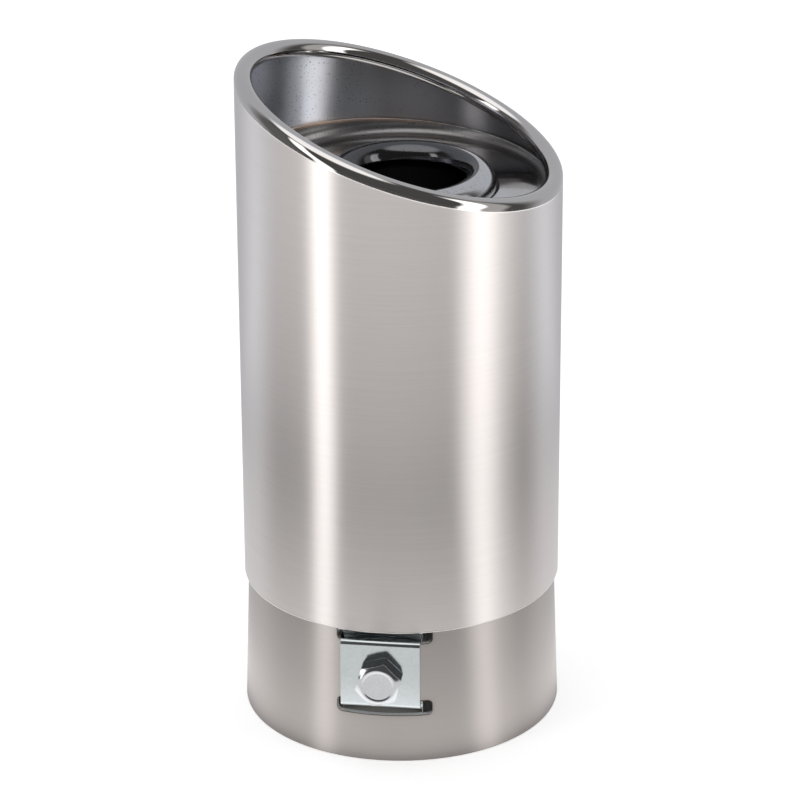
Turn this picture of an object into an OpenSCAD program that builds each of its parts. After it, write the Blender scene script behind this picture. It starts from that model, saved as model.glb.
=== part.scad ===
// Clamp-on exhaust tip with a slant-cut outlet and a rolled rim.
// It stands on the mouth of its inlet collar, which faces down.
// The clamp is on the -Y side, and the outlet is highest on the -X side.

/* [Sleeve] */
// Outer diameter of the sleeve
sleeve_d = 76; // [66:0.5:110]
// Thickness of the sleeve's sheet
sleeve_t = 0.9; // [0.6:0.1:1.3]
// Height of the sleeve's lower edge above the mouth of the collar
sleeve_edge_z = 33.8; // [32:0.2:60]
// Height of the rolled rim on the axis of the sleeve
rim_z = 147.4; // [120:0.1:220]
// Angle at which the outlet is cut
cut_angle = 19; // [0:0.5:35]
// Direction in which the outlet is highest, seen from above
cut_dir = 178; // [90:1:270]
// Diameter of the rolled rim
rim_d = 4.2; // [3.4:0.1:6]
// How far the sleeve flares from its lower edge to its rim, at each side
rim_flare = 0.4; // [0:0.1:1]
// How far round the sheet is rolled
rim_turn = 292; // [200:1:300]

/* [Collar] */
// How far the collar widens from the sleeve's edge to its mouth, at each side
mouth_flare = 1.05; // [0:0.05:3]
// Thickness of the collar's sheet
collar_t = 1.2; // [0.8:0.1:1.6]
// How far the collar reaches up inside the sleeve
collar_overlap = 24; // [10:1:40]
// Radial room between the sleeve and what is pushed into it
slip_fit = 0.05; // [0.02:0.01:0.2]

/* [Slots] */
// Height of the middle of the strip that stands between the two slots
strip_z = 23.2; // [22:0.1:24]
// Height of that strip
strip_h = 15; // [13:0.1:16]
// Height of each slot
slot_h = 3.6; // [3:0.1:4]
// Width of each slot
slot_w = 22.5; // [21.5:0.1:26]
// How far the slots are punched to the right of the bolt
slot_shift = 0.7; // [0:0.1:1]
// Radius of the corners of a slot
slot_corner = 1.1; // [0.5:0.1:1.4]

/* [Clamp] */
// Width of the saddle
saddle_w = 19; // [16:0.1:20]
// Thickness of the saddle's sheet
saddle_t = 1; // [0.8:0.1:1.2]
// Inner radius of the saddle's bends
saddle_bend = 0.6; // [0.3:0.1:0.8]
// Height of the feet that hook behind the collar
foot_h = 3.4; // [2:0.1:5]
// Room between the clamp's pieces and what they lie on
clamp_fit = 0.1; // [0.05:0.05:0.3]
// How far the bolt lies below the middle of the strip
bolt_drop = 0.8; // [0:0.1:1.2]
// Diameter of the bolt's thread
bolt_d = 6; // [5:0.5:6]
// Length of the bolt under its head
bolt_length = 16; // [14:1:25]
// Width of the bolt's head and of the nut across flats
hex_af = 10; // [9:0.5:11]
// Height of the bolt's head
head_h = 4.5; // [3:0.1:6]
// Diameter of the flat face that the chamfer leaves on the bolt's head
head_face_d = 8.6; // [7:0.1:8.8]
// Height of the nut
nut_h = 5; // [3:0.1:6]
// Room between the bolt and the nut's bore, all round
thread_fit = 0.05; // [0.02:0.01:0.1]
// Room between the bolt and its clearance holes, all round
hole_fit = 0.3; // [0.2:0.05:0.5]

/* [Baffle] */
// Thickness of the baffle's sheet
baffle_t = 0.8; // [0.6:0.1:1.2]
// Depth of the baffle's floor under its edge, on the low side of the cut
pan_depth = 0.7; // [0.5:0.1:8]
// Angle at which the baffle's edge is trimmed
trim_angle = 3.7; // [0:0.1:6]
// Room between the rolled rim and the baffle's edge, on the low side
rim_gap = 0.1; // [0.1:0.1:2]
// Outer radius of the bend between the floor and the edge
pan_bend = 3.7; // [1.6:0.1:5]
// Diameter of the hole in the neck
neck_bore = 26.4; // [20:0.2:30]
// Height of the middle of the neck's round lip above the floor
neck_h = 1.3; // [1:0.1:10]
// Diameter of the neck's round lip
lip_d = 8; // [5:0.1:9]
// How far the neck stands off the axis, towards the low side of the cut
neck_shift = 1.7; // [0:0.1:2.5]
// How far round the neck's lip is turned, from its outside over the top
lip_turn = 200; // [160:1:230]

/* [Hidden] */
$fn = 96;

// The rolled rim is swept in this many steps, and rolled in this many
SWEEP_STEPS = 120;
ROLL_STEPS = 14;
// The part of a circle that the neck's lip leaves open is cut out by a fan with this many edges
LIP_GAP_STEPS = 6;
// Overrun of a cut past the face that it goes through
OVER = 1;
// The nut's room is looked up at every such angle round its face
NUT_STEP = 5;

sleeve_r = sleeve_d / 2;
bore_r = sleeve_r - sleeve_t;
rim_r = rim_d / 2;
rim_path_r = sleeve_r + rim_flare - rim_r;
cut_slope = tan(cut_angle);
// Lowest point of the rolled rim: its section is square to a path that climbs, so it reaches down by rim_r
rim_low_z = rim_z - cut_slope * rim_path_r - rim_r;

collar_r = bore_r - slip_fit;
mouth_r = collar_r + mouth_flare;
collar_top_z = sleeve_edge_z + collar_overlap;
strip_bottom_z = strip_z - strip_h / 2;
strip_top_z = strip_z + strip_h / 2;
bolt_z = strip_z - bolt_drop;
bolt_r = bolt_d / 2;

// The strip's sharp edges need this much room to clear the saddle's round inner corners
bend_room = clamp_fit + (1 - sqrt(1 / 2)) * saddle_bend;
// The saddle's plate clears the strip where the strip is widest
plate_in = mouth_radius(strip_bottom_z) + bend_room;
plate_out = plate_in + saddle_t;
saddle_half = strip_h / 2 + bend_room + saddle_t;
// The feet clear the wall by their corners, where it is narrowest
foot_end = saddle_half + saddle_bend + foot_h;
foot_wall_r = mouth_radius(strip_z + foot_end) - collar_t;
foot_face = chord(foot_wall_r, saddle_w / 2) - clamp_fit;
hex_r = hex_af / sqrt(3);
CHAMFER_ANGLE = 30;
// Share of the width across flats that is left of the nut's faces
NUT_FACE = 0.95;
nut_face_r = NUT_FACE * hex_af / 2;
head_turn = 15;
nut_turn = 30;
// Length of the cone on the bolt's tip
tip_h = 0.8;
// The nut clears the wall all round its face
nut_seat = min([for (a = [0:NUT_STEP:360 - NUT_STEP])
    chord(mouth_radius(bolt_z + nut_face_r * sin(a)) - collar_t, nut_face_r * cos(a))]) - clamp_fit;

floor_z = rim_low_z - rim_gap - pan_depth;
// The pan fits the bore at its foot, where the flare is least: on the high side of the cut
pan_r = bore_radius(floor_z - baffle_t, cut_dir) - slip_fit;
// The trimmed edge passes under the rim on the low side, and climbs with trim_angle from there
trim_z = rim_low_z - rim_gap + tan(trim_angle) * pan_r;
lip_r = lip_d / 2;
neck_r = neck_bore / 2;
lip_z = floor_z + neck_h;
// Inner radius of the bend between the floor and the neck
neck_bend = 0.8;
neck_out_r = neck_r + lip_d;
neck_foot_r = neck_out_r + neck_bend;
// The neck's own floor runs out this far into the pan's, which starts round_neck from the sleeve's axis
FLOOR_LAP = 1;
round_neck = neck_foot_r + neck_shift + FLOOR_LAP;

// Outer radius of the collar's conical mouth at height z
function mouth_radius(z) = mouth_r + (collar_r - mouth_r) * min(z, sleeve_edge_z) / sleeve_edge_z;
// Distance from the axis to a chord of a circle, at half_w to its side
function chord(r, half_w) = sqrt(r * r - half_w * half_w);

// Height of the rim's path at angle t, and the direction in which the path runs there
function rim_height(t) = rim_z + cut_slope * rim_path_r * cos(t - cut_dir);
function rim_climb(t) = -cut_slope * sin(t - cut_dir);
// Inner radius of the flaring sleeve at height z, at angle t
function bore_radius(z, t) = bore_r + rim_flare * (z - sleeve_edge_z) / (rim_height(t) - sleeve_edge_z);
// Section of the sheet: up the outside, round the roll, back inside the roll and down the inside.
// Each entry is [distance outward, distance square to the path, foot of the wall or not].
function roll(r) = [for (i = [0:ROLL_STEPS])
    let (a = rim_turn * i / ROLL_STEPS) [r * cos(a), r * sin(a), false]];
function reversed(list) = [for (i = [len(list) - 1:-1:0]) list[i]];
function sheet_section() = concat(
    [[rim_r, 0, true]], roll(rim_r), reversed(roll(rim_r - sleeve_t)), [[rim_r - sleeve_t, 0, true]]);
// A point of the section, placed at angle t: the second distance runs along up, which leans with the path
function section_point(s, t) =
    let (climb = rim_climb(t), flat = 1 / sqrt(1 + climb * climb), r = rim_path_r + s[0],
         across = -climb * flat * s[1], up = flat * s[1])
    s[2] ? [(r - rim_flare) * cos(t), (r - rim_flare) * sin(t), sleeve_edge_z]
         : [r * cos(t) - across * sin(t), r * sin(t) + across * cos(t), rim_height(t) + up];

module outer_sleeve() {
    section = sheet_section();
    count = len(section);
    points = [for (i = [0:SWEEP_STEPS - 1], s = section) section_point(s, 360 * i / SWEEP_STEPS)];
    faces = [for (i = [0:SWEEP_STEPS - 1], j = [0:count - 1])
        let (a = i * count + j, b = i * count + (j + 1) % count,
             c = ((i + 1) % SWEEP_STEPS) * count + (j + 1) % count, d = ((i + 1) % SWEEP_STEPS) * count + j)
        each [[a, b, c], [a, c, d]]];
    color("silver") polyhedron(points, faces);
}

module collar_section() {
    polygon([
        [mouth_r - collar_t, 0],
        [mouth_r, 0],
        [collar_r, sleeve_edge_z],
        [collar_r, collar_top_z],
        [collar_r - collar_t, collar_top_z],
        [collar_r - collar_t, sleeve_edge_z],
    ]);
}

module rounded_slot(w, h, r) {
    square([w - 2 * r, h], center = true);
    square([w, h - 2 * r], center = true);
    for (x = [-1, 1], y = [-1, 1]) translate([x * (w / 2 - r), y * (h / 2 - r)]) circle(r);
}

// Turns a shape that is drawn in X and Z into a cut through the wall on the clamp's side
module punch_front(depth_from, depth_to) {
    translate([0, -depth_from, 0]) rotate([90, 0, 0]) linear_extrude(depth_to - depth_from) children();
}

module inlet_collar() {
    color("lightgray") difference() {
        rotate_extrude() collar_section();
        punch_front(mouth_r / 2, mouth_r + OVER) {
            for (z = [strip_bottom_z - slot_h / 2, strip_top_z + slot_h / 2])
                translate([slot_shift, z]) rounded_slot(slot_w, slot_h, slot_corner);
            translate([0, bolt_z]) circle(bolt_r + hole_fit);
        }
    }
}

// A quarter of a bent sheet round the origin, in the quadrant that sx and sy name
module bend(inner, t, sx, sy) {
    outer = inner + t;
    intersection() {
        difference() {
            circle(outer);
            circle(inner);
        }
        translate([sx > 0 ? 0 : -outer, sy > 0 ? 0 : -outer]) square(outer);
    }
}

module box_between(low, high) {
    polygon([low, [high.x, low.y], high, [low.x, high.y]]);
}

// One half of the saddle above the middle of the plate: plate, bend, leg, bend and foot
module half_saddle() {
    outer = saddle_bend + saddle_t;
    foot_z = saddle_half + saddle_bend;
    box_between([plate_in, 0], [plate_out, saddle_half - outer]);
    translate([plate_out - outer, saddle_half - outer]) bend(saddle_bend, saddle_t, 1, 1);
    box_between([foot_face + saddle_bend, saddle_half - saddle_t], [plate_out - outer, saddle_half]);
    translate([foot_face + saddle_bend, foot_z]) bend(saddle_bend, saddle_t, -1, -1);
    box_between([foot_face - saddle_t, foot_z], [foot_face, foot_z + foot_h]);
}

module clamp_saddle() {
    color("lightsteelblue") difference() {
        translate([saddle_w / 2, 0, strip_z]) rotate([90, 0, -90]) linear_extrude(saddle_w) {
            half_saddle();
            mirror([0, 1]) half_saddle();
        }
        punch_front(plate_in - OVER, plate_out + OVER) translate([0, bolt_z]) circle(bolt_r + hole_fit);
    }
}

// A hexagon whose corners are turned down to a round face at its far end, or at both ends
module chamfered_hex(h, face_r, both) {
    clear_r = hex_r + OVER;
    drop = (clear_r - face_r) * tan(CHAMFER_ANGLE);
    intersection() {
        linear_extrude(h) circle(hex_r, $fn = 6);
        rotate_extrude() polygon([
            [0, 0],
            [both ? face_r : clear_r, 0],
            [clear_r, both ? drop : 0],
            [clear_r, h - drop],
            [face_r, h],
            [0, h],
        ]);
    }
}

// Lays a piece that is built along +Z on the bolt's axis, so that +Z runs outward from distance r
module on_bolt_axis(r) {
    translate([0, -r, bolt_z]) rotate([90, 0, 0]) children();
}

module clamp_bolt() {
    shank_r = bolt_r - thread_fit;
    color("gainsboro") {
        on_bolt_axis(plate_out) rotate([0, 0, head_turn]) chamfered_hex(head_h, head_face_d / 2, false);
        on_bolt_axis(plate_out - bolt_length) rotate_extrude() polygon([
            [0, 0],
            [shank_r - tip_h, 0],
            [shank_r, tip_h],
            [shank_r, bolt_length + OVER],
            [0, bolt_length + OVER],
        ]);
    }
}

module clamp_nut() {
    color("gainsboro") difference() {
        on_bolt_axis(nut_seat - nut_h) rotate([0, 0, nut_turn]) chamfered_hex(nut_h, nut_face_r, true);
        on_bolt_axis(nut_seat - nut_h - OVER) cylinder(r = bolt_r, h = nut_h + 2 * OVER);
    }
}

// Section of the pan's rim, drawn about the axis of the sleeve
module pan_section() {
    untrimmed_z = trim_z + tan(trim_angle) * pan_r + OVER;
    box_between([round_neck, floor_z - baffle_t], [pan_r - pan_bend, floor_z]);
    translate([pan_r - pan_bend, floor_z - baffle_t + pan_bend]) bend(pan_bend - baffle_t, baffle_t, 1, -1);
    box_between([pan_r - baffle_t, floor_z - baffle_t + pan_bend], [pan_r, untrimmed_z]);
}

// Section of the neck, drawn about its own axis: floor, bend, wall and round lip
module neck_section() {
    box_between([neck_foot_r, floor_z - baffle_t], [round_neck + neck_shift + FLOOR_LAP, floor_z]);
    translate([neck_foot_r, floor_z + neck_bend]) bend(neck_bend, baffle_t, -1, -1);
    box_between([neck_out_r - baffle_t, floor_z + neck_bend], [neck_out_r, lip_z]);
    translate([neck_r + lip_r, lip_z]) difference() {
        circle(lip_r);
        circle(lip_r - baffle_t);
        polygon(concat([[0, 0]], [for (i = [0:LIP_GAP_STEPS])
            let (a = lip_turn + (360 - lip_turn) * i / LIP_GAP_STEPS) lip_d * [cos(a), sin(a)]]));
    }
}

module outlet_baffle() {
    low_side = cut_dir + 180;
    color("slategray") {
        rotate([0, 0, low_side]) {
            intersection() {
                rotate_extrude() pan_section();
                translate([0, 0, trim_z]) rotate([0, trim_angle, 0]) translate([0, 0, -2 * sleeve_r])
                    cube([4 * sleeve_r, 4 * sleeve_r, 4 * sleeve_r], center = true);
            }
            translate([neck_shift, 0, 0]) rotate_extrude() neck_section();
        }
    }
}

outer_sleeve();
inlet_collar();
outlet_baffle();
clamp_saddle();
clamp_bolt();
clamp_nut();
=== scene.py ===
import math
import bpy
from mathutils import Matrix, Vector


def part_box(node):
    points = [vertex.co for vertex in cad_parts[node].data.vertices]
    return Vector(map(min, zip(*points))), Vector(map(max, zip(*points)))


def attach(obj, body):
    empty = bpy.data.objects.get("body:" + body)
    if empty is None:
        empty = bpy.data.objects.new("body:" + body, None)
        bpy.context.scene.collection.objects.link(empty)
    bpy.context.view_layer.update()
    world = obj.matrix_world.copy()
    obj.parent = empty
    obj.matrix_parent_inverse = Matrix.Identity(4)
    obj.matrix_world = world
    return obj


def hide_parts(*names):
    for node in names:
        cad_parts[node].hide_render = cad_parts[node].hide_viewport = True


bl_info = {
    "name": "Exhaust tip with a slant-cut outlet",
    "version": (1, 0, 0),
    "blender": (4, 5, 0),
    "location": "3D View > Sidebar > Exhaust tip",
    "description": "Builds a clamp-on exhaust tip: its sleeve, collar, baffle and screw clamp",
    "category": "Add Mesh",
}

import bmesh
import bpy
from mathutils import Matrix, Vector

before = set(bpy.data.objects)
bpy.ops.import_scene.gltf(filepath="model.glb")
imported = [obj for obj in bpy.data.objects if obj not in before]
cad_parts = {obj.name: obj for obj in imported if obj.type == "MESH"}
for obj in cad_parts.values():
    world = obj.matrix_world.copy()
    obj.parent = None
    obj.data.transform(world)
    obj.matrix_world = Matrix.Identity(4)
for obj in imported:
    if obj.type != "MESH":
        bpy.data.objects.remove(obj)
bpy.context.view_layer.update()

MM = 0.001
SLEEVE_LOW, SLEEVE_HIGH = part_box("outer_sleeve")
COLLAR_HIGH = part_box("inlet_collar")[1]
BAFFLE_LOW, BAFFLE_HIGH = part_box("outlet_baffle")
SADDLE_LOW, SADDLE_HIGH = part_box("clamp_saddle")
BOLT_LOW, BOLT_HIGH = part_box("clamp_bolt")
NUT_LOW, NUT_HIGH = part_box("clamp_nut")

# Where the camera stands, how far it is turned left, tilted down and rolled, and its lens
CAMERA_PLACE = Vector((0.1374, -1.0187, 0.5314))
CAMERA_YAW = math.radians(7.6887)
CAMERA_PITCH = math.radians(23.83)
CAMERA_ROLL = math.radians(-0.3076)
CAMERA_SENSOR = 36.0
CAMERA_LENS = 211.2

# Values of the zone attribute that a turned sheet carries for its finish
OUTER, POLISHED, INNER = 0.0, 1.0, 2.0

# How much a chamfer of 30 degrees falls for each unit that it runs outwards
CHAMFER = math.tan(math.radians(30))

# How far from a bend the points stand that keep the shading of a flat stretch flat
GUARD = 0.15 * MM


# ---- sizes and colours ----


def length(description, metres):
    return bpy.props.FloatProperty(
        description=description, default=metres, min=0.0, precision=5, subtype="DISTANCE", unit="LENGTH"
    )


def turn(description, degrees):
    return bpy.props.FloatProperty(
        description=description, default=math.radians(degrees), subtype="ANGLE", unit="ROTATION"
    )


def colour(description, value):
    return bpy.props.FloatVectorProperty(
        description=description, default=value, min=0.0, max=1.0, size=3, subtype="COLOR"
    )


class TipSizes(bpy.types.PropertyGroup):
    sleeve_radius: length("Outer radius of the sleeve at its lower edge", 38 * MM)
    sleeve_edge: length("Height of the sleeve's lower edge", SLEEVE_LOW.z)
    sleeve_sheet: length("Thickness of the sleeve's sheet", 0.9 * MM)
    rim_height: length("Height of the rolled rim on the sleeve's axis", 147.4 * MM)
    rim_reach: length("Outer radius of the rolled rim", SLEEVE_HIGH.x - 0.01 * MM)
    rim_radius: length("Radius of the rolled rim's section", 2.08 * MM)
    rim_polish: length("How far the polish of the rim reaches down the sleeve", 0.6 * MM)
    rim_turn: turn("How far round the sheet is rolled", 292)
    cut_angle: turn("Slant of the outlet", 19)
    high_side: turn("Direction in which the outlet is highest", 178)

    mouth_radius: length("Outer radius of the collar at its mouth", COLLAR_HIGH.x)
    collar_radius: length("Outer radius of the collar inside the sleeve", 37.05 * MM)
    collar_top: length("Height of the collar's upper end", COLLAR_HIGH.z)
    collar_sheet: length("Thickness of the collar's sheet", 1.2 * MM)
    strip_middle: length("Height of the middle of the strip between the slots", 23.2 * MM)
    strip_depth: length("Height of the strip between the slots", 15 * MM)
    slot_depth: length("Height of a slot", 3.6 * MM)
    slot_width: length("Width of a slot", 22.5 * MM)
    slot_shift: length("How far the slots stand to the right of the bolt", 0.7 * MM)
    slot_corner: length("Radius of a slot's corners", 1.1 * MM)
    hole_radius: length("Radius of the bolt's clearance holes", 3.3 * MM)

    pan_radius: length("Outer radius of the baffle's pan", BAFFLE_HIGH.y)
    baffle_sheet: length("Thickness of the baffle's sheet", 0.8 * MM)
    floor_height: length("Height of the top of the pan's floor", BAFFLE_LOW.z + 0.8 * MM)
    pan_bend: length("Outer radius of the pan's bend", 3.7 * MM)
    trim_height: length("Height of the pan's trimmed edge on the axis", 135.117 * MM)
    trim_angle: turn("Slant of the pan's trimmed edge", 3.7)
    neck_radius: length("Radius of the hole in the neck", 13.2 * MM)
    neck_shift: length("How far the neck stands off the axis, towards the low side", 1.7 * MM)
    lip_height: length("Height of the middle of the neck's lip above the floor", 1.3 * MM)
    lip_radius: length("Radius of the neck's round lip", 4.0 * MM)
    lip_turn: turn("How far the neck's lip is turned, from its outside over the top", 200)

    saddle_width: length("Width of the saddle", SADDLE_HIGH.x - SADDLE_LOW.x)
    saddle_front: length("Distance of the saddle's plate from the axis", -SADDLE_LOW.y)
    saddle_back: length("Distance of the backs of the feet from the axis", -SADDLE_HIGH.y)
    saddle_height: length("Height of the saddle over its feet", SADDLE_HIGH.z - SADDLE_LOW.z)
    saddle_sheet: length("Thickness of the saddle's sheet", 1.0 * MM)
    saddle_bend: length("Inner radius of the saddle's bends", 0.6 * MM)
    foot_height: length("Height of a foot of the saddle", 3.4 * MM)

    bolt_height: length("Height of the bolt's axis", 22.4 * MM)
    hex_width: length("Width of the bolt's head and of the nut across flats", 10 * MM)
    head_front: length("Distance of the bolt's head from the axis", -BOLT_LOW.y)
    head_height: length("Height of the bolt's head", 4.5 * MM)
    head_face: length("Radius of the round face that the chamfer leaves", 4.3 * MM)
    head_turn: turn("How far the bolt's head is turned", 15)
    bolt_tip: length("Distance of the bolt's tip from the axis", -BOLT_HIGH.y)
    thread_radius: length("Outer radius of the bolt's thread", 2.95 * MM)
    thread_pitch: length("Pitch of the bolt's thread", 1.0 * MM)
    thread_depth: length("Depth of the bolt's thread", 0.55 * MM)
    nut_front: length("Distance of the nut's front face from the axis", -NUT_LOW.y)
    nut_back: length("Distance of the nut's back face from the axis", -NUT_HIGH.y)


class TipColours(bpy.types.PropertyGroup):
    sleeve: colour("Brushed steel of the sleeve", (0.81, 0.772, 0.755))
    rim: colour("Polished steel of the rolled rim", (0.62, 0.6, 0.585))
    inside: colour("Mill-finished steel inside the sleeve", (0.78, 0.82, 0.9))
    collar: colour("Satin steel of the collar", (0.54, 0.505, 0.485))
    cut_edge: colour("Darkened steel at the punched edges of the slots", (0.09, 0.07, 0.055))
    baffle: colour("Polished steel of the baffle", (0.64, 0.65, 0.67))
    zinc: colour("Bright zinc plate of the saddle", (0.56, 0.6, 0.61))
    bolt: colour("Bright zinc plate of the bolt and the nut", (0.6, 0.61, 0.63))
    floor: colour("Paper that the tip stands on", (0.9, 0.9, 0.9))
    room: colour("Light of the studio", (1.0, 0.99, 0.985))


# ---- node trees as expressions ----


class Wire:
    """A socket of a node tree. Arithmetic on it adds Math nodes to the tree."""

    def __init__(self, graph, socket):
        self.graph = graph
        self.socket = socket

    def math(self, operation, *others):
        values = dict(enumerate((self,) + others))
        return self.graph.wire("ShaderNodeMath", values, operation=operation)

    def __add__(self, other):
        return self.math("ADD", other)

    def __mul__(self, other):
        return self.math("MULTIPLY", other)

    def __sub__(self, other):
        return self.math("SUBTRACT", other)

    def __rsub__(self, other):
        return self.graph.wire("ShaderNodeMath", {0: other, 1: self}, operation="SUBTRACT")

    def __truediv__(self, other):
        return self.math("DIVIDE", other)

    def __rtruediv__(self, other):
        return self.graph.wire("ShaderNodeMath", {0: other, 1: self}, operation="DIVIDE")

    def between(self, low, high):
        """Runs smoothly from 0 at low to 1 at high."""
        inputs = {"Value": self, "From Min": low, "From Max": high}
        return self.graph.wire("ShaderNodeMapRange", inputs, interpolation_type="SMOOTHSTEP")


class Graph:
    """A node tree that is being built."""

    def __init__(self, tree):
        self.tree = tree
        tree.nodes.clear()

    def fill(self, socket, value):
        """Links a wire or another socket to a socket, or else sets its value."""
        source = value.socket if isinstance(value, Wire) else value
        if isinstance(source, bpy.types.NodeSocket):
            self.tree.links.new(source, socket)
        else:
            socket.default_value = value

    def node(self, kind, inputs=None, **settings):
        """Makes a node of that type, sets it up, then fills its sockets."""
        made = self.tree.nodes.new(kind)
        for name, value in settings.items():
            setattr(made, name, value)
        for name, value in (inputs or {}).items():
            self.fill(made.inputs[name], value)
        return made

    def wire(self, kind, inputs=None, output=0, **settings):
        """Makes a node, and returns one of its outputs."""
        return Wire(self, self.node(kind, inputs, **settings).outputs[output])

    def combine(self, x, y, z):
        return self.wire("ShaderNodeCombineXYZ", {"X": x, "Y": y, "Z": z})

    def split(self, vector):
        made = self.node("ShaderNodeSeparateXYZ", {"Vector": vector})
        return [Wire(self, made.outputs[axis]) for axis in "XYZ"]

    def mix(self, factor, first, second):
        """Mixes two colours."""
        made = self.node("ShaderNodeMix", {0: factor, 6: first, 7: second}, data_type="RGBA")
        return Wire(self, made.outputs[2])

    def place(self):
        """Places on the piece itself, in metres."""
        return self.wire("ShaderNodeTexCoord", output="Object")

    def noise(self, vector, scale, detail=2.0, roughness=0.5):
        inputs = {"Vector": vector, "Scale": scale, "Detail": detail, "Roughness": roughness}
        return self.wire("ShaderNodeTexNoise", inputs)

    def stretch(self, vector, scale):
        """Squeezes or stretches coordinates along each axis."""
        return self.wire("ShaderNodeMapping", {"Vector": vector, "Scale": scale})


def rgba(shade, factor=1.0):
    """A colour made lighter or darker by that factor, with its alpha."""
    return (*(min(1.0, part * factor) for part in shade), 1.0)


def geometry_graph(name, sockets):
    """Starts a Geometry Nodes tree with inputs of those kinds, and returns it with their wires."""
    tree = bpy.data.node_groups.new(name, "GeometryNodeTree")
    graph = Graph(tree)
    for kind, labels in sockets.items():
        for label in labels:
            tree.interface.new_socket(name=label, in_out="INPUT", socket_type=f"NodeSocket{kind}")
    tree.interface.new_socket(name="Geometry", in_out="OUTPUT", socket_type="NodeSocketGeometry")
    given = graph.node("NodeGroupInput")
    labels = [label for group in sockets.values() for label in group]
    return graph, {label: Wire(graph, given.outputs[label]) for label in labels}


def close_graph(graph, geometry, finish):
    """Ends a Geometry Nodes tree in one smooth, real mesh with its finish."""
    welded = graph.wire("GeometryNodeMergeByDistance", {"Geometry": geometry, "Distance": 1e-6})
    smooth = graph.wire("GeometryNodeSetShadeSmooth", {"Geometry": welded})
    real = graph.wire("GeometryNodeRealizeInstances", {"Geometry": smooth})
    painted = graph.wire("GeometryNodeSetMaterial", {"Geometry": real, "Material": finish})
    graph.node("NodeGroupOutput", {"Geometry": painted})
    return graph.tree


def grown_mesh(name, seed_mesh, tree, values):
    """Runs a Geometry Nodes tree once and returns an object that holds its plain mesh."""
    piece = bpy.data.objects.new(name, seed_mesh)
    bpy.context.collection.objects.link(piece)
    grower = piece.modifiers.new("grow", "NODES")
    grower.node_group = tree
    for item in tree.interface.items_tree:
        if item.item_type == "SOCKET" and item.in_out == "INPUT" and item.name in values:
            grower[item.identifier] = values[item.name]
    return plain(piece)


def plain(piece):
    """Turns a piece and its modifiers into a plain mesh."""
    graph = bpy.context.evaluated_depsgraph_get()
    graph.update()
    mesh = bpy.data.meshes.new_from_object(
        piece.evaluated_get(graph), preserve_all_data_layers=True, depsgraph=graph
    )
    old = piece.data
    piece.modifiers.clear()
    piece.data = mesh
    bpy.data.meshes.remove(old)
    return piece


# ---- shapes ----


def on_circle(out, up, radius, degrees):
    """The point of a circle round (out, up) at that angle."""
    angle = math.radians(degrees)
    return (out + radius * math.cos(angle), up + radius * math.sin(angle))


def arc(out, up, radius, start, end, steps):
    """Points on a circle round (out, up), with both ends."""
    return [on_circle(out, up, radius, start + (end - start) * i / steps) for i in range(steps + 1)]


def straight(first, second):
    """Points along a line, with one close to each end so that its shading stays flat."""
    run = math.dist(first, second)
    if run < 3 * GUARD:
        return [first, second]
    step = GUARD / run
    shares = (0.0, step, 1.0 - step, 1.0)
    return [tuple(a + (b - a) * share for a, b in zip(first, second)) for share in shares]


def tagged(points, shift=0.0, ride=0.0, zone=OUTER):
    """Section points with what a turned sheet needs: their shift, their ride and their zone."""
    return [(*point, shift, ride, zone) for point in points]


def without_repeats(points):
    """Drops points that stand on the one before them and say the same."""
    kept = []
    for point in points:
        if not kept or math.dist(point[:2], kept[-1][:2]) > 1e-7 or point[2:] != kept[-1][2:]:
            kept.append(point)
    return kept


def section_mesh(points):
    """A mesh whose points hold a sheet's section: (out, up, shift, ride, zone)."""
    mesh = bpy.data.meshes.new("section")
    mesh.from_pydata([(p[0], p[2], p[1]) for p in points], [], [])
    for name, place in (("ride", 3), ("zone", 4)):
        layer = mesh.attributes.new(name, "FLOAT", "POINT")
        layer.data.foreach_set("value", [p[place] for p in points])
    return mesh


def turned_sheet_tree():
    """Turns a closed section round the axis.

    Points that ride follow a slanted cut, with the section square to it. The shift moves points
    towards the low side.
    """
    graph, given = geometry_graph(
        "Turned sheet",
        {
            "Geometry": ["Section"],
            "Int": ["Steps"],
            "Float": ["Path Radius", "Path Height", "Path Slope", "High Side"],
            "Material": ["Finish"],
        },
    )
    steps = given["Steps"]
    section = given["Section"]
    count = graph.wire("GeometryNodeAttributeDomainSize", {"Geometry": section}, component="MESH")
    grid = graph.wire("GeometryNodeMeshGrid", {"Vertices X": count + 1, "Vertices Y": steps + 1})
    index = graph.wire("GeometryNodeInputIndex")
    column = (index / (steps + 1) + 1e-4).math("FLOOR")
    row = index - column * (steps + 1)
    place = column.math("MODULO", count)
    angle = row / steps * math.tau

    def sampled(kind, value):
        inputs = {"Geometry": section, "Value": value, "Index": place}
        return graph.wire("GeometryNodeSampleIndex", inputs, data_type=kind, domain="POINT")

    def named(name):
        value = graph.wire("GeometryNodeInputNamedAttribute", {"Name": name}, data_type="FLOAT")
        return sampled("FLOAT", value)

    out, shift, up = graph.split(sampled("FLOAT_VECTOR", graph.wire("GeometryNodeInputPosition")))
    ride = named("ride")
    from_high = angle - given["High Side"]
    climb = from_high.math("SINE") * given["Path Slope"] * ride * -1.0
    flat = 1.0 / (climb * climb + 1.0).math("SQRT")
    across = climb * flat * up * -1.0
    path = given["Path Height"] + given["Path Slope"] * given["Path Radius"] * from_high.math("COSINE")
    cosine = angle.math("COSINE")
    sine = angle.math("SINE")
    position = graph.combine(
        out * cosine - across * sine - shift * given["High Side"].math("COSINE"),
        out * sine + across * cosine - shift * given["High Side"].math("SINE"),
        up * flat + ride * path,
    )
    inputs = {"Geometry": grid, "Name": "zone", "Value": named("zone")}
    marked = graph.wire("GeometryNodeStoreNamedAttribute", inputs, data_type="FLOAT", domain="POINT")
    moved = graph.wire("GeometryNodeSetPosition", {"Geometry": marked, "Position": position})
    return close_graph(graph, moved, given["Finish"])


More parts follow.
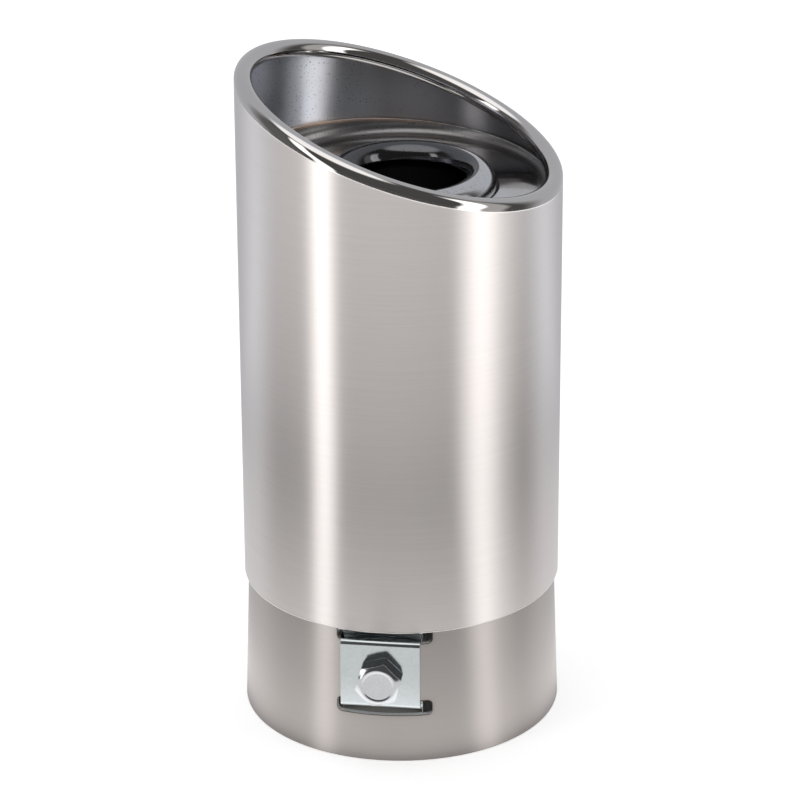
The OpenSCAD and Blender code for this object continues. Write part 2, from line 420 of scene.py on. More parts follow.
def turned_sheet(name, points, steps, finish, path_radius=0.0, path_height=0.0, slope=0.0, high_side=0.0):
    """A closed sheet with that section, turned round the Z axis."""
    values = {
        "Steps": steps,
        "Path Radius": path_radius,
        "Path Height": path_height,
        "Path Slope": slope,
        "High Side": high_side,
        "Finish": finish,
    }
    piece = grown_mesh(name, section_mesh(without_repeats(points)), turned_sheet_tree(), values)
    return outward(piece)


def outward(piece):
    """Makes the faces of a closed piece point outwards, and fails if the piece isn't closed."""
    shape = bmesh.new()
    shape.from_mesh(piece.data)
    open_edges = sum(1 for edge in shape.edges if not edge.is_manifold)
    if open_edges:
        shape.free()
        raise RuntimeError(f"{piece.name} has {open_edges} open edges")
    if shape.calc_volume(signed=True) < 0:
        bmesh.ops.reverse_faces(shape, faces=shape.faces[:])
    shape.to_mesh(piece.data)
    shape.free()
    return piece


def smooth(piece, degrees=32):
    """Shades a piece smooth, with its sharp edges kept."""
    piece.data.shade_smooth()
    piece.data.set_sharp_from_angle(angle=math.radians(degrees))
    return piece


def object_from(name, shape, finish):
    """An object at the origin that holds a bmesh."""
    mesh = bpy.data.meshes.new(name)
    shape.to_mesh(mesh)
    shape.free()
    piece = bpy.data.objects.new(name, mesh)
    bpy.context.collection.objects.link(piece)
    mesh.materials.append(finish)
    return piece


def prism(near, far):
    """A closed prism between two outlines, and its two ends."""
    shape = bmesh.new()
    first = [shape.verts.new(point) for point in near]
    second = [shape.verts.new(point) for point in far]
    ends = [shape.faces.new(first), shape.faces.new(reversed(second))]
    for i in range(len(near)):
        j = (i + 1) % len(near)
        shape.faces.new((first[j], first[i], second[i], second[j]))
    bmesh.ops.recalc_face_normals(shape, faces=shape.faces[:])
    return shape, ends


def rounded_rectangle(x, z, width, height, radius):
    """The outline of a rectangle with round corners, round its middle (x, z)."""
    points = []
    for sign_x, sign_z, start in ((1, 1, 0), (-1, 1, 90), (-1, -1, 180), (1, -1, 270)):
        centre_x = x + sign_x * (width / 2 - radius)
        centre_z = z + sign_z * (height / 2 - radius)
        points += arc(centre_x, centre_z, radius, start, start + 90, 8)
    return points


def bolt_hole(s):
    """The outline of the bolt's clearance hole."""
    return arc(0.0, s.bolt_height, s.hole_radius, 0, 360, 48)[:-1]


def discard(piece):
    """Removes a helper and its mesh."""
    mesh = piece.data
    bpy.data.objects.remove(piece)
    bpy.data.meshes.remove(mesh)


def cut_out(piece, outlines, low, high):
    """Cuts prisms with those outlines through a piece, along Y."""
    cutters = []
    for outline in outlines:
        near, far = ([(x, y, z) for x, z in outline] for y in (low, high))
        cutter = object_from("cutter", prism(near, far)[0], piece.data.materials[0])
        cutters.append(cutter)
        cut = piece.modifiers.new("cut", "BOOLEAN")
        cut.operation = "DIFFERENCE"
        cut.solver = "EXACT"
        cut.object = cutter
    plain(piece)
    for cutter in cutters:
        discard(cutter)


def soften(shape, edges, width):
    """Rounds edges of a bmesh a little."""
    bmesh.ops.bevel(
        shape, geom=edges, offset=width, offset_type="OFFSET", segments=2, profile=0.5, affect="EDGES"
    )


def deliver(piece, node):
    """Hands a finished piece to the frame in place of its CAD node."""
    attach(piece, "root")
    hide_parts(node)
    return {"FINISHED"}


# ---- finishes ----

BRUSHED_ROUND = {"Anisotropic": 0.96, "Anisotropic Rotation": 0.25}

# Stains and pits of the metals, and the painted shade and painted dark reflection in their dark places
SLEEVE_STAIN = (0.81, 0.757, 0.737)
WALL_STAIN = (0.62, 0.56, 0.53)
WALL_PAINTED_REFLECTION = (0.33, 0.31, 0.31)
COLLAR_STAIN = (0.52, 0.485, 0.47)
COLLAR_PAINTED_SHADE = (0.09, 0.085, 0.08)
SLOT_STAIN = (0.42, 0.37, 0.33)
BAFFLE_STAIN = (0.62, 0.6, 0.58)
BEND_PAINTED_SHADE = (0.17, 0.16, 0.16)
COPPER = (0.62, 0.42, 0.31)
WALL_PIT = (0.12, 0.12, 0.13)
BAFFLE_PIT = (0.12, 0.12, 0.12)
PAINTED_SHADE_BLACK = (0.05, 0.05, 0.055)


def new_finish(name):
    """An empty material and its graph."""
    finish = bpy.data.materials.new(name)
    finish.use_nodes = True
    return finish, Graph(finish.node_tree)


def metal(name, shade, roughness, **constants):
    """A plain metal to build on: its material, its graph, its shader and its object coordinates."""
    finish, graph = new_finish(name)
    inputs = {"Base Color": rgba(shade), "Metallic": 1.0, "Roughness": roughness, **constants}
    shader = graph.node("ShaderNodeBsdfPrincipled", inputs)
    graph.node("ShaderNodeOutputMaterial", {"Surface": shader.outputs["BSDF"]})
    return finish, graph, shader, graph.place()


def feed(graph, shader, base, rough, normal):
    """Links a metal's colour, roughness and normal to its shader."""
    for name, wire in (("Base Color", base), ("Roughness", rough), ("Normal", normal)):
        graph.fill(shader.inputs[name], wire)


def bumped(graph, height, distance, strength, normal=None):
    """A bumpy normal, on top of another one if it is given."""
    inputs = {"Height": height, "Distance": distance, "Strength": strength}
    if normal is not None:
        inputs["Normal"] = normal
    return graph.wire("ShaderNodeBump", inputs)


def streaks(graph, place, around, along, roughness=0.6):
    """Brushed streaks round the axis, so many in a metre round it and along it."""
    return graph.noise(graph.stretch(place, (around, around, along)), 1.0, 3.0, roughness)


def specks(graph, place, scale, least):
    """Small specks, the fewer the higher the threshold is."""
    return graph.noise(place, scale, 1.0).between(least, least + 0.1)


def grained(graph, grain, shade, spread):
    """A colour that its grain makes a little darker and lighter."""
    return graph.mix(grain, rgba(shade, 1.0 - spread), rgba(shade, 1.0 + spread))


def hypotenuse(x, y):
    """How far a step of x and y reaches."""
    return (x * x + y * y).math("SQRT")


def to_the_right(x, y):
    """How far a place is to the right, seen from the camera's side."""
    return x * math.cos(CAMERA_YAW) + y * math.sin(CAMERA_YAW)


def zone_masks(graph):
    """Shares of polished rim and of the inside, from the piece's own attribute."""
    zone = graph.wire("ShaderNodeAttribute", output="Fac", attribute_name="zone")
    inside = zone.between(1.2, 1.9)
    rim = zone.between(0.1, 0.6) * (1.0 - inside)
    return rim, inside


def sleeve_finish(colours):
    """Steel that is brushed outside, polished on the rim and mill-finished inside, with a painted dark
    reflection on the inner wall's right side and painted shade low on that wall.
    """
    finish, graph, shader, place = metal("Brushed sleeve", colours.sleeve, 0.38, **BRUSHED_ROUND)
    rim, inside = zone_masks(graph)
    outside = 1.0 - inside - rim
    fine = streaks(graph, place, 60, 9000)
    coarse = streaks(graph, place, 12, 1500, 0.55)
    streak = fine * 0.6 + coarse * 0.4
    cloud = graph.noise(place, 18.0, 2.0)
    base = grained(graph, streak.between(0.3, 0.7), colours.sleeve, 0.03)
    base = graph.mix(cloud.between(0.35, 0.65) * 0.4, base, rgba(SLEEVE_STAIN))
    base = graph.mix(rim, base, rgba(colours.rim))

    x, y, height = graph.split(place)
    right = to_the_right(x, y).between(-13 * MM, -2 * MM)
    # Painted shade: the inner wall below the height of the pan's corner is painted near black
    shade_below_pan = height.between(133.5 * MM, 130.5 * MM)
    wall = graph.mix(cloud.between(0.4, 0.7), rgba(colours.inside), rgba(WALL_STAIN))
    wall = graph.mix(specks(graph, place, 2600.0, 0.66), wall, rgba(WALL_PIT))
    # Painted dark reflection: the inner wall's right side, as the camera sees it, is darkened as if it
    # mirrored the dark opposite side
    wall = graph.mix(right * 0.8, wall, rgba(WALL_PAINTED_REFLECTION))
    wall = graph.mix(shade_below_pan, wall, rgba(PAINTED_SHADE_BLACK))
    base = graph.mix(inside, base, wall)
    rough = outside * (streak * 0.05 + 0.355) + rim * 0.06 + inside * (cloud * 0.05 + 0.33)
    feed(graph, shader, base, rough, bumped(graph, cloud * (rim + inside), 0.15 * MM, 0.3))
    return finish


def slot_mask(graph, place, sizes, reach):
    """One at the rim of either slot, falling to zero at that reach from it."""
    x, y, z = graph.split(place)
    across = (x - sizes.slot_shift).math("ABSOLUTE")
    apart = (sizes.strip_depth + sizes.slot_depth) / 2
    upright = ((z - sizes.strip_middle).math("ABSOLUTE") - apart).math("ABSOLUTE")
    corner = sizes.slot_corner
    side = (across - (sizes.slot_width / 2 - corner)).math("MAXIMUM", 0.0)
    top = (upright - (sizes.slot_depth / 2 - corner)).math("MAXIMUM", 0.0)
    off = hypotenuse(side, top) - corner
    front = (y * -1.0).between(0.0, 5 * MM)
    return off.between(reach, 0.0) * front


def collar_finish(colours, sizes):
    """Satin steel, with stained and dark edges at the slots and painted shade over its inside."""
    finish, graph, shader, place = metal("Satin collar", colours.collar, 0.4, **BRUSHED_ROUND)
    inside = zone_masks(graph)[1]
    fine = streaks(graph, place, 110, 7000)
    cloud = graph.noise(place, 30.0, 3.0)
    edge = slot_mask(graph, place, sizes, 0.35 * MM)
    halo = slot_mask(graph, place, sizes, 1.6 * MM)
    base = grained(graph, fine.between(0.3, 0.7), colours.collar, 0.03)
    base = graph.mix(cloud.between(0.35, 0.7) * 0.5, base, rgba(COLLAR_STAIN))
    base = graph.mix(halo * cloud * 0.5, base, rgba(SLOT_STAIN))
    base = graph.mix(edge, base, rgba(colours.cut_edge))
    # Painted shade: the collar's inside is painted nearly black
    base = graph.mix(inside * 0.9, base, rgba(COLLAR_PAINTED_SHADE))
    rough = fine * 0.05 + cloud * 0.03 + 0.35 + edge * 0.2
    feed(graph, shader, base, rough, bumped(graph, cloud, 0.1 * MM, 0.15))
    return finish


def baffle_finish(colours, sizes):
    """Polished steel, with painted shade in its bend and inside its ring, and a copper tint on the left of
    its edge.
    """
    finish, graph, shader, place = metal("Polished baffle", colours.baffle, 0.1)
    inside = zone_masks(graph)[1]
    x, y, z = graph.split(place)
    radius = hypotenuse(x, y)
    bend = radius.between(31.5 * MM, 34 * MM)
    cloud = graph.noise(place, 60.0, 2.0)
    pits = specks(graph, place, 2400.0, 0.64)
    base = graph.mix(cloud.between(0.35, 0.7), rgba(colours.baffle), rgba(BAFFLE_STAIN))
    base = graph.mix(pits, base, rgba(BAFFLE_PIT))
    # Painted shade: the pan's bend, the corner between its floor and its wall, is darkened
    base = graph.mix(bend * 0.75, base, rgba(BEND_PAINTED_SHADE))

    slope = math.tan(sizes.trim_angle)
    lean = x * slope * math.cos(sizes.high_side) + y * slope * math.sin(sizes.high_side)
    edge = (z - lean - sizes.trim_height).between(-0.9 * MM, -0.3 * MM)
    wall = radius.between(35.5 * MM, 36 * MM)
    left = x.between(12 * MM, -8 * MM)
    base = graph.mix(edge * wall * left, base, rgba(COPPER))
    # Painted shade: the inside of the neck's ring is painted near black
    base = graph.mix(inside * 0.9, base, rgba(PAINTED_SHADE_BLACK))
    rough = cloud * 0.05 + 0.05 + pits * 0.3 + bend * 0.25
    feed(graph, shader, base, rough, bumped(graph, cloud, 0.2 * MM, 0.25))
    return finish


def zinc_finish(name, shade, dull, scale):
    """Bright zinc plate, with the soft grain and faint stains of a plated pressing."""
    finish, graph, shader, place = metal(name, shade, dull)
    grain = graph.noise(place, scale, 3.0, 0.6)
    cloud = graph.noise(place, 220.0, 2.0)
    base = grained(graph, grain.between(0.35, 0.65), shade, 0.02)
    base = graph.mix(cloud.between(0.5, 0.8) * 0.4, base, rgba(shade, 0.86))
    rough = grain * 0.08 + cloud * 0.05 + (dull - 0.08)
    dents = bumped(graph, cloud, 0.06 * MM, 0.25)
    feed(graph, shader, base, rough, bumped(graph, grain, 0.003 * MM, 0.25, dents))
    return finish


# ---- pieces ----


class TIP_OT_outer_sleeve(bpy.types.Operator):
    """Build the brushed sleeve with its slant-cut, rolled rim"""

    bl_idname = "exhaust_tip.outer_sleeve"
    bl_label = "Outer sleeve"

    def execute(self, context):
        s = context.scene.tip_sizes
        edge = 0.2 * MM
        edge_top = s.sleeve_edge + 2 * edge
        path = s.rim_reach - s.rim_radius
        inner = s.sleeve_radius - s.sleeve_sheet
        hollow = s.rim_radius - s.sleeve_sheet
        fade = 0.3 * MM
        end = math.degrees(s.rim_turn)
        blunt = 0.15 * MM
        blunt_turn = 4.5
        points = tagged(arc(s.sleeve_radius - edge, s.sleeve_edge + edge, edge, -90, 0, 4), zone=POLISHED)
        points += tagged([(s.sleeve_radius, edge_top)])
        points += tagged([(s.rim_reach, -s.rim_polish - fade)], ride=1.0)
        rolled = [(s.rim_reach, fade - s.rim_polish)]
        rolled += arc(path, 0.0, s.rim_radius, 0, end - blunt_turn, 44)
        rolled += [on_circle(path, 0.0, radius, end) for radius in (s.rim_radius - blunt, hollow + blunt)]
        points += tagged(rolled, ride=1.0, zone=POLISHED)
        under = arc(path, 0.0, hollow, end - 2 * blunt_turn, 0, 26)
        under += [(s.rim_reach - s.sleeve_sheet, -0.4 * MM)]
        points += tagged(under, ride=1.0, zone=INNER)
        points += tagged([(inner, edge_top)], zone=INNER)
        points += tagged(arc(inner + edge, s.sleeve_edge + edge, edge, 180, 270, 4), zone=INNER)
        finish = sleeve_finish(context.scene.tip_colours)
        slope = math.tan(s.cut_angle)
        piece = turned_sheet("Outer_sleeve", points, 480, finish, path, s.rim_height, slope, s.high_side)
        return deliver(smooth(piece), "outer_sleeve")


class TIP_OT_inlet_collar(bpy.types.Operator):
    """Build the satin collar with its two punched slots"""

    bl_idname = "exhaust_tip.inlet_collar"
    bl_label = "Inlet collar"

    def execute(self, context):
        s = context.scene.tip_sizes
        edge = 0.25 * MM
        mouth_top = 1.5 * edge
        outside = arc(s.mouth_radius - edge, edge, edge, -90, 0, 4)
        outside += straight((s.mouth_radius, mouth_top), (s.collar_radius, s.sleeve_edge))
        outside += straight((s.collar_radius, s.sleeve_edge), (s.collar_radius, s.collar_top))
        inner = s.collar_radius - s.collar_sheet
        mouth = s.mouth_radius - s.collar_sheet
        inside = straight((inner, s.collar_top), (inner, s.sleeve_edge))
        inside += straight((inner, s.sleeve_edge), (mouth, mouth_top))
        inside += arc(mouth + edge, edge, edge, 180, 270, 4)
        points = tagged(outside) + tagged(inside, zone=INNER)
        piece = turned_sheet("Inlet_collar", points, 360, collar_finish(context.scene.tip_colours, s))
        apart = (s.strip_depth + s.slot_depth) / 2
        outlines = [
            rounded_rectangle(s.slot_shift, height, s.slot_width, s.slot_depth, s.slot_corner)
            for height in (s.strip_middle - apart, s.strip_middle + apart)
        ]
        outlines.append(bolt_hole(s))
        cut_out(piece, outlines, -s.mouth_radius - MM, -s.mouth_radius / 2)
        return deliver(smooth(outward(piece), 25), "inlet_collar")


class TIP_OT_outlet_baffle(bpy.types.Operator):
    """Build the polished pan, with the round ring about its hole"""

    bl_idname = "exhaust_tip.outlet_baffle"
    bl_label = "Outlet baffle"

    def execute(self, context):
        s = context.scene.tip_sizes
        sheet = s.baffle_sheet
        top = s.floor_height
        under = top - sheet
        bend_out = s.pan_radius - s.pan_bend
        bend_up = under + s.pan_bend
        wall_foot = bend_up + GUARD
        wall_top = s.trim_height + 4 * MM
        root = 0.8 * MM
        foot = s.neck_radius + 2 * s.lip_radius + root
        lip_out = s.neck_radius + s.lip_radius
        lip_up = top + s.lip_height
        hollow = s.lip_radius - sheet
        end = math.degrees(s.lip_turn)
        blunt = 0.15 * MM

        pan = straight((foot + 3 * MM, under), (bend_out, under))
        pan += arc(bend_out, bend_up, s.pan_bend, -90, 0, 16)
        pan += [(s.pan_radius, wall_foot), (s.pan_radius, wall_top)]
        pan += [(s.pan_radius - sheet, wall_top), (s.pan_radius - sheet, wall_foot)]
        pan += arc(bend_out, bend_up, s.pan_bend - sheet, 0, -90, 16)
        pan += straight((bend_out, top), (foot + 3 * MM, top))
        neck = straight((foot + MM, top), (foot, top))
        neck += arc(foot, top + root, root, -90, -180, 10)
        neck += arc(lip_out, lip_up, s.lip_radius, 0, end - 2, 64)
        radii = (s.lip_radius - blunt, hollow + blunt)
        neck += [on_circle(lip_out, lip_up, radius, end) for radius in radii]
        neck += arc(lip_out, lip_up, hollow, end - 3, 0, 32)
        neck += arc(foot, top + root, root + sheet, 180, 270, 14)
        neck += straight((foot, under), (foot + MM, under))
        points = tagged(pan)
        for point in neck:
            points += tagged([point], s.neck_shift, zone=INNER if point[0] < lip_out else OUTER)
        finish = baffle_finish(context.scene.tip_colours, s)
        piece = turned_sheet("Outlet_baffle", points, 384, finish, high_side=s.high_side)
        self.trim(piece, s)
        return deliver(smooth(outward(piece)), "outlet_baffle")

    def trim(self, piece, s):
        """Trims the pan's wall on a slanted plane, and leaves the neck as it is."""
        shape = bmesh.new()
        shape.from_mesh(piece.data)
        limit = s.pan_radius - s.pan_bend - MM
        wall = [face for face in shape.faces if all(v.co.xy.length > limit for v in face.verts)]
        parts = dict.fromkeys(wall)
        for face in wall:
            parts.update(dict.fromkeys([*face.verts, *face.edges]))
        slope = math.tan(s.trim_angle)
        normal = Vector((-slope * math.cos(s.high_side), -slope * math.sin(s.high_side), 1.0)).normalized()
        made = bmesh.ops.bisect_plane(
            shape,
            geom=list(parts),
            dist=1e-8,
            plane_co=(0.0, 0.0, s.trim_height),
            plane_no=normal,
            clear_outer=True,
        )
        ring = [item for item in made["geom_cut"] if isinstance(item, bmesh.types.BMEdge)]
        bridge = bmesh.ops.bridge_loops(shape, edges=ring)
        if not bridge["faces"]:
            raise RuntimeError("the pan's trimmed edge couldn't be closed")
        soften(shape, ring, 0.12 * MM)
        shape.to_mesh(piece.data)
        shape.free()


class TIP_OT_clamp_saddle(bpy.types.Operator):
    """Build the bent zinc-plated saddle of the clamp"""

    bl_idname = "exhaust_tip.clamp_saddle"
    bl_label = "Clamp saddle"

    def execute(self, context):
        s = context.scene.tip_sizes
        sheet = s.saddle_sheet
        inner = s.saddle_bend
        front = s.saddle_front
        back = s.saddle_back
        foot = back + sheet
        half = s.saddle_height / 2 - s.foot_height - inner
        foot_up = half + inner
        end = s.saddle_height / 2
        edge = 0.12 * MM
        tight = 0.15 * MM
        knee = tight + sheet
        upper = straight((front, 0.0), (front, half - knee))[1:]
        upper += arc(front - knee, half - knee, knee, 0, 90, 10)
        upper += straight((front - knee, half), (foot + inner, half))
        upper += arc(foot + inner, foot_up, inner, -90, -180, 8)
        upper += straight((foot, foot_up), (foot, end - edge))
        upper += arc(foot - edge, end - edge, edge, 0, 90, 3)
        upper += arc(back + edge, end - edge, edge, 90, 180, 3)
        upper += straight((back, end - edge), (back, foot_up))
        upper += arc(foot + inner, foot_up, inner + sheet, 180, 270, 10)
        upper += straight((foot + inner, half - sheet), (front - knee, half - sheet))
        upper += arc(front - knee, half - knee, tight, 90, 0, 8)
        upper += straight((front - sheet, half - knee), (front - sheet, 0.0))[:-1]
        loop = without_repeats(upper + [(out, -up) for out, up in reversed(upper)])
        left, right = (
            [(x, -out, s.strip_middle + up) for out, up in loop]
            for x in (-s.saddle_width / 2, s.saddle_width / 2)
        )
        shape, ends = prism(left, right)
        soften(shape, [side for cap in ends for side in cap.edges], 0.1 * MM)
        finish = zinc_finish("Zinc saddle", context.scene.tip_colours.zinc, 0.17, 900)
        piece = object_from("Clamp_saddle", shape, finish)
        cut_out(piece, [bolt_hole(s)], -front - MM, -front + 2 * sheet)
        return deliver(smooth(outward(piece)), "clamp_saddle")


def hexagon(angle, width):
    """How far from its middle the side of a hexagon with soft corners is, at that angle."""
    hardness = 60.0
    total = 0.0
    for side in range(6):
        lean = math.cos(angle - math.radians(60 * side + 30))
        total += math.exp(hardness * (lean - 1.0))
    return width / 2 / (1.0 + math.log(total) / hardness)


def round_ring(radius, out):
    """A round ring about the bolt's axis, at that distance from the tip's axis."""
    return lambda angle: (radius, out)


def hexagon_ring(width, out):
    """A hexagonal ring about the bolt's axis."""
    return lambda angle: (hexagon(angle, width), out)


def chamfered_ring(width, out, face, drop, side=1):
    """A hexagonal ring that falls away outside a round face, as a chamfer of 30 degrees leaves it."""

    def ring(angle):
        radius = hexagon(angle, width)
        return radius, out - side * (max(0.0, (radius - face) * CHAMFER) + drop)

    return ring


def laid_on_bolt_axis(rings, closed, steps, height, turned):
    """A mesh of rings about the bolt's axis.

    Each ring maps an angle to its radius there and to its distance from the tip's axis. A closed
    mesh joins its last ring to the first, and another has a cap at either end.
    """
    shape = bmesh.new()
    made = []
    for ring in rings:
        row = []
        for i in range(steps):
            angle = math.tau * i / steps
            radius, out = ring(angle)
            x = radius * math.cos(angle + turned)
            z = radius * math.sin(angle + turned)
            row.append(shape.verts.new((x, -out, height + z)))
        made.append(row)
    pairs = list(zip(made, made[1:]))
    if closed:
        pairs.append((made[-1], made[0]))
    for first, second in pairs:
        for i in range(steps):
            j = (i + 1) % steps
            shape.faces.new((first[i], first[j], second[j], second[i]))
    if not closed:
        shape.faces.new(made[0])
        shape.faces.new(reversed(made[-1]))
    bmesh.ops.recalc_face_normals(shape, faces=shape.faces[:])
    return shape


def thread_tree():
    """A screw thread: a shank whose radius follows a helix, with a pointed tip."""
    graph, given = geometry_graph(
        "Screw thread",
        {
            "Geometry": ["Geometry"],
            "Int": ["Around", "Along"],
            "Float": ["Radius", "Depth", "Pitch", "Length", "Tip Place", "Height"],
            "Material": ["Finish"],
        },
    )
    around = given["Around"]
    along = given["Along"]
    grid = graph.wire("GeometryNodeMeshGrid", {"Vertices X": along + 3, "Vertices Y": around + 1})
    index = graph.wire("GeometryNodeInputIndex")
    column = (index / (around + 1) + 1e-4).math("FLOOR")
    row = index - column * (around + 1)
    angle = row / around * math.tau
    share = ((column - 1.0) / along).math("MAXIMUM", 0.0).math("MINIMUM", 1.0)
    run = share * given["Length"]
    wave = (run / given["Pitch"] - row / around).math("PINGPONG", 0.5) * 2.0
    crest = wave.between(0.12, 0.88)
    body = given["Radius"] - crest * given["Depth"]
    pointed = body.math("MINIMUM", given["Radius"] * 0.72 + run)
    first = column.math("LESS_THAN", 0.5)
    last = column.math("GREATER_THAN", along + 1.5)
    radius = pointed * (1.0 - first) * (1.0 - last)
    position = graph.combine(
        radius * angle.math("COSINE"),
        (given["Tip Place"] + run) * -1.0,
        given["Height"] + radius * angle.math("SINE"),
    )
    moved = graph.wire("GeometryNodeSetPosition", {"Geometry": grid, "Position": position})
    return close_graph(graph, moved, given["Finish"])


class TIP_OT_clamp_bolt(bpy.types.Operator):
    """Build the hexagon bolt of the clamp, with its thread"""

    bl_idname = "exhaust_tip.clamp_bolt"
    bl_label = "Clamp bolt"

    def execute(self, context):
        s = context.scene.tip_sizes
        finish = zinc_finish("Zinc bolt", context.scene.tip_colours.bolt, 0.17, 1500)
        front = s.head_front
        back = s.head_front - s.head_height
        face = s.head_face
        width = s.hex_width
        dish = 0.16 * MM

        def cone_ring(share):
            """A ring on the chamfer, at that share of the way from the round face to the sides."""

            def ring(angle):
                radius = face + (hexagon(angle, width) - face) * share
                return radius, front - (radius - face) * CHAMFER

            return ring

        rings = [round_ring(0.5 * MM, front - dish), round_ring(3.4 * MM, front - dish)]
        rings += [round_ring(3.55 * MM, front - 0.9 * dish), round_ring(3.8 * MM, front - 0.15 * dish)]
        rings += [round_ring(face - 0.3 * MM, front), round_ring(face - 0.08 * MM, front - 0.01 * MM)]
        rings += [cone_ring(0.12), cone_ring(0.5), cone_ring(0.85)]
        rings += [chamfered_ring(width - 0.06 * MM, front, face, 0.0)]
        rings += [chamfered_ring(width, front, face, drop) for drop in (0.05 * MM, 0.25 * MM)]
        rings += [hexagon_ring(width, back + 0.25 * MM), hexagon_ring(width, back + 0.1 * MM)]
        rings += [hexagon_ring(width - 0.2 * MM, back), round_ring(2.0 * MM, back)]
        head = laid_on_bolt_axis(rings, False, 180, s.bolt_height, s.head_turn)
        piece = object_from("Clamp_bolt", head, finish)
        outward(piece)
        seed = bpy.data.meshes.new("seed")
        values = {
            "Around": 64,
            "Along": 150,
            "Radius": s.thread_radius,
            "Depth": s.thread_depth,
            "Pitch": s.thread_pitch,
            "Length": back + MM - s.bolt_tip,
            "Tip Place": s.bolt_tip,
            "Height": s.bolt_height,
            "Finish": finish,
        }
        shank = outward(grown_mesh("shank", seed, thread_tree(), values))
        shape = bmesh.new()
        shape.from_mesh(piece.data)
        shape.from_mesh(shank.data)
        shape.to_mesh(piece.data)
        shape.free()
        discard(shank)
        return deliver(smooth(piece), "clamp_bolt")


class TIP_OT_clamp_nut(bpy.types.Operator):
    """Build the nut behind the collar's wall, with its thread"""

    bl_idname = "exhaust_tip.clamp_nut"
    bl_label = "Clamp nut"

    def execute(self, context):
        s = context.scene.tip_sizes
        front = s.nut_front
        back = s.nut_back
        width = s.hex_width
        face = 4.75 * MM
        bore = s.thread_radius + 0.05 * MM
        relief = 0.4 * MM
        steps = 40

        def thread_ring(out):
            """A ring of the nut's thread, at that distance from the tip's axis."""

            def ring(angle):
                turns = (out - s.bolt_tip) / s.thread_pitch - angle / math.tau
                return bore + 0.02 * MM + 0.25 * MM * abs(turns % 1.0 - 0.5) * 2, out

            return ring

        rings = [round_ring(face, back)]
        rings += [chamfered_ring(width - inset, back, face, 0.02 * MM, -1) for inset in (0.04 * MM, 0.0)]
        rings += [chamfered_ring(width - inset, front, face, 0.02 * MM) for inset in (0.0, 0.04 * MM)]
        rings += [round_ring(face, front), round_ring(bore + 0.45 * MM, front)]
        rings += [round_ring(bore + 0.3 * MM, front - 0.1 * MM)]
        for i in range(steps + 1):
            rings.append(thread_ring(front - relief - (front - back - 2 * relief) * i / steps))
        rings += [round_ring(bore + 0.3 * MM, back + 0.1 * MM), round_ring(bore + 0.45 * MM, back)]
        shape = laid_on_bolt_axis(rings, True, 96, s.bolt_height, math.radians(30))
        finish = zinc_finish("Zinc nut", context.scene.tip_colours.bolt, 0.26, 1200)
        piece = object_from("Clamp_nut", shape, finish)
        return deliver(smooth(outward(piece)), "clamp_nut")


# ---- stage ----

# Strengths of the light from the room's parts, with the tint of the light from behind
DARK_WALLS, BACK_WALLS, CEILING, LIT_PAPER = 0.09, 0.5, 1.45, 2.35
BACK_TINT = (0.93, 0.95, 1.0)
# Painted contact shadow: the colour that the card's light darkens to close round the tip's foot
CONTACT_PAINTED_SHADOW = (0.1, 0.095, 0.09)

# Lit panels: degrees to the right, half width, soft edge, strength, and lean of the upper end
PANELS = (
    (-56, 5, 5, 2.0, -8),
    (58, 6, 5, 2.0, 24),
    (74, 7, 8, 0.45, 20),
    (-88, 14, 8, 0.06, 0),
)


def studio_light(colours):
    """A dark room with lit panels in front, pale walls behind, a lit ceiling and lit paper below."""
    world = bpy.data.worlds.new("Studio")
    world.use_nodes = True
    graph = Graph(world.node_tree)
    x, y, z = graph.split(graph.wire("ShaderNodeTexCoord", output="Generated"))
    ahead = x * math.sin(CAMERA_YAW) - y * math.cos(CAMERA_YAW)
    aside = to_the_right(x, y)
    round_room = aside.math("ARCTAN2", ahead) * math.degrees(1.0)

    def panel(degrees, half, soft, strength, lean):
        off = (round_room - degrees - z * lean).math("ABSOLUTE")
        return off.between(half + soft, half) * z.between(0.8, 0.6) * strength

    behind = round_room.math("ABSOLUTE").between(94, 122)
    walls = behind * BACK_WALLS
    for values in PANELS:
        walls = walls + panel(*values)
    over = z * 0.985 + ahead * 0.133 - aside * 0.112
    ceiling = over.between(0.85, 0.93)
    paper = z.between(-0.38, -0.52)
    light = (walls + DARK_WALLS) * (1.0 - ceiling) * (1.0 - paper) + ceiling * CEILING + paper * LIT_PAPER
    tint = graph.mix(behind, rgba(colours.room), rgba(BACK_TINT))
    back = graph.node("ShaderNodeBackground", {"Color": tint, "Strength": light})
    graph.node("ShaderNodeOutputWorld", {"Surface": back.outputs["Background"]})
    return world


def lit_card(colours, radius):
    """A disc under the tip that only its metal mirrors: the lit paper, brightest close to the tip, with a
    painted contact shadow right round its foot.
    """
    finish, graph = new_finish("Lit paper")
    x, y, z = graph.split(graph.place())
    off = hypotenuse(x, y)
    near = off.between(85 * MM, 55 * MM)
    contact = off.between(48 * MM, 38 * MM)
    shade = graph.mix(near, rgba(colours.room, 0.62), rgba(colours.room))
    # Painted contact shadow round the tip's foot
    shade = graph.mix(contact * 0.75, shade, rgba(CONTACT_PAINTED_SHADOW))
    glow = graph.node("ShaderNodeEmission", {"Color": shade, "Strength": 1.5})
    graph.node("ShaderNodeOutputMaterial", {"Surface": glow.outputs["Emission"]})
    shape = bmesh.new()
    bmesh.ops.create_circle(shape, cap_ends=True, segments=96, radius=radius)
    bmesh.ops.translate(shape, vec=(0.0, 0.0, -0.1 * MM), verts=shape.verts)
    card = object_from("Card", shape, finish)
    card.visible_camera = False
    card.visible_diffuse = False
    card.visible_shadow = False
    return card


